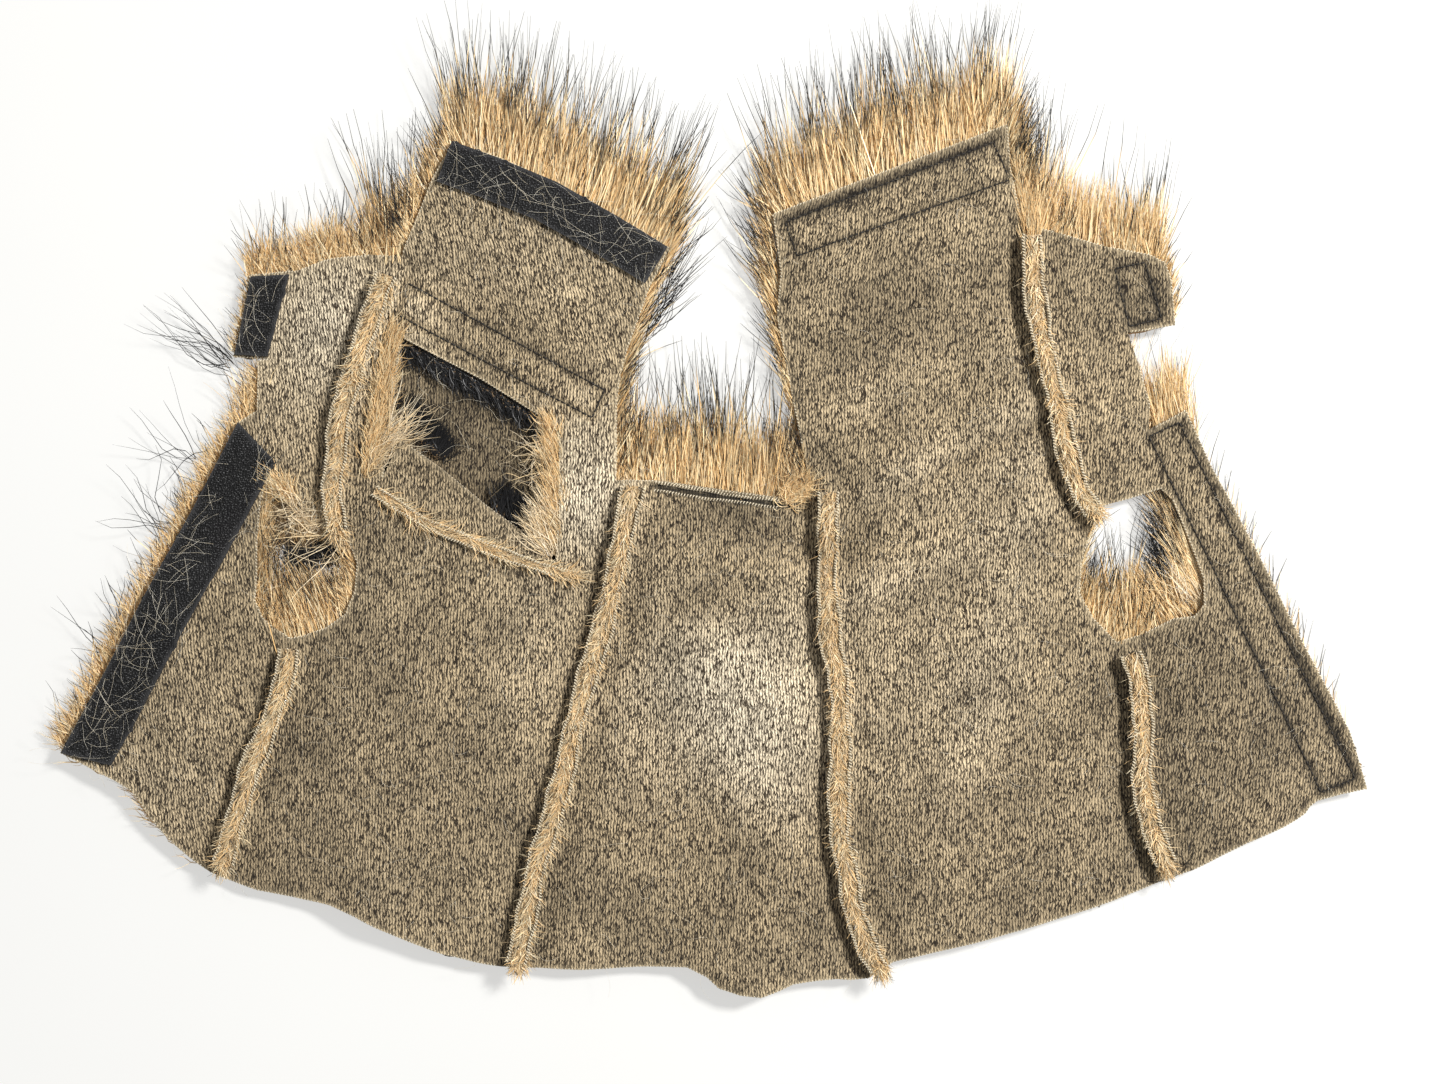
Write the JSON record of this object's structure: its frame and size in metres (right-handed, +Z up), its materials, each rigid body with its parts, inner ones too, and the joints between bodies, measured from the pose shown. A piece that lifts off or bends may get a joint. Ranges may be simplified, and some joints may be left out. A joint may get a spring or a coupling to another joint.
{
  "type": "faux fur wrap vest",
  "caption": "Wrap vest of long-pile faux fur lying open inside out, with armholes, shoulder flaps, neck tabs, a covered slot and hook and loop tapes.",
  "frame": {"origin": "centre of the bounding box of the open wrap, on the table it lies on", "axes": "+X to the wearer's side that is on the right when the knit side is seen, +Y towards the neck, +Z up, out of the knit side"},
  "size_m": [0.6616, 0.4796, 0.0183],
  "materials": {
    "knit_backing": "heathered khaki and grey knitted backing, matt",
    "fur_pile": "long gold-tan pile with dark tips, soft sheen",
    "seam_allowance": "overlocked ecru edges with short pile between",
    "hook_tape": "black hook tape with a low grey sheen",
    "loop_tape": "black loop tape, matt",
    "thread": "black sewing thread"
  },
  "bodies": {
    "centre_back": {"centre_back_backing": "knit_backing", "centre_back_pile": "fur_pile", "neck_hem": "seam_allowance", "left_back_seam": "seam_allowance"},
    "left_back": {"left_back_backing": "knit_backing", "left_back_pile": "fur_pile", "left_front_upper_seam": "seam_allowance", "left_front_lower_seam": "seam_allowance", "slot_seam": "seam_allowance", "slot_loop_tape": "loop_tape", "slot_stitching": "thread"},
    "left_shoulder": {"left_shoulder_backing": "knit_backing", "left_shoulder_pile": "fur_pile", "left_shoulder_hook_tape": "hook_tape"},
    "left_front": {"left_front_backing": "knit_backing", "left_front_pile": "fur_pile", "left_front_hook_tape": "hook_tape"},
    "left_neck_tab": {"left_neck_tab_backing": "knit_backing", "left_neck_tab_pile": "fur_pile", "left_neck_tab_hook_tape": "hook_tape"},
    "slot_lip": {"slot_lip_backing": "knit_backing", "slot_lip_pile": "fur_pile"},
    "slot_cover": {"slot_cover_backing": "knit_backing", "slot_cover_pile": "fur_pile", "slot_cover_hook_tape": "hook_tape"},
    "right_back": {"right_back_backing": "knit_backing", "right_back_pile": "fur_pile", "right_back_seam": "seam_allowance", "right_front_upper_seam": "seam_allowance", "right_front_lower_seam": "seam_allowance"},
    "right_shoulder": {"right_shoulder_backing": "knit_backing", "right_shoulder_pile": "fur_pile", "right_shoulder_loop_tape": "loop_tape", "right_shoulder_stitching": "thread"},
    "right_front": {"right_front_backing": "knit_backing", "right_front_pile": "fur_pile", "right_front_loop_tape": "loop_tape", "right_front_stitching": "thread"},
    "right_neck_tab": {"right_neck_tab_backing": "knit_backing", "right_neck_tab_pile": "fur_pile", "right_neck_tab_loop_tape": "loop_tape", "right_neck_tab_stitching": "thread"}
  },
  "joints": [
    {"name": "left_back_fold", "type": "hinge", "parent": "centre_back", "child": "left_back", "pos_m": [-0.077, -0.1045, 0.011], "axis": [0.2322, 0.9727, 0], "range_deg": [0, 45]},
    {"name": "right_back_fold", "type": "hinge", "parent": "centre_back", "child": "right_back", "pos_m": [0.0545, -0.11, 0.011], "axis": [0.0614, -0.9981, 0], "range_deg": [0, 45]},
    {"name": "left_front_fold", "type": "hinge", "parent": "left_back", "child": "left_front", "pos_m": [-0.211, -0.0245, 0.011], "axis": [0.2565, 0.9665, 0], "range_deg": [0, 90]},
    {"name": "right_front_fold", "type": "hinge", "parent": "right_back", "child": "right_front", "pos_m": [0.206, -0.0185, 0.011], "axis": [0.2085, -0.978, 0], "range_deg": [0, 90]},
    {"name": "left_shoulder_fold", "type": "hinge", "parent": "left_back", "child": "left_shoulder", "pos_m": [-0.101, 0.0995, 0.011], "axis": [0.8812, -0.4727, 0], "range_deg": [0, 90]},
    {"name": "right_shoulder_fold", "type": "hinge", "parent": "right_back", "child": "right_shoulder", "pos_m": [0.093, 0.1225, 0.011], "axis": [0.9331, 0.3595, 0], "range_deg": [0, 90]},
    {"name": "left_neck_tab_fold", "type": "hinge", "parent": "left_front", "child": "left_neck_tab", "pos_m": [-0.214, 0.1, 0.011], "axis": [0.2631, 0.9648, 0], "range_deg": [0, 90]},
    {"name": "right_neck_tab_fold", "type": "hinge", "parent": "right_front", "child": "right_neck_tab", "pos_m": [0.2015, 0.1125, 0.011], "axis": [0.2478, -0.9688, 0], "range_deg": [0, 90]},
    {"name": "slot_lip_fold", "type": "hinge", "parent": "left_back", "child": "slot_lip", "pos_m": [-0.122, -0.0035, 0.011], "axis": [0.9064, -0.4223, 0], "range_deg": [0, 90]},
    {"name": "slot_cover_fold", "type": "hinge", "parent": "left_back", "child": "slot_cover", "pos_m": [-0.121, -0.013, 0], "axis": [-0.9048, 0.4258, 0], "range_deg": [0, 60]}
  ]
}
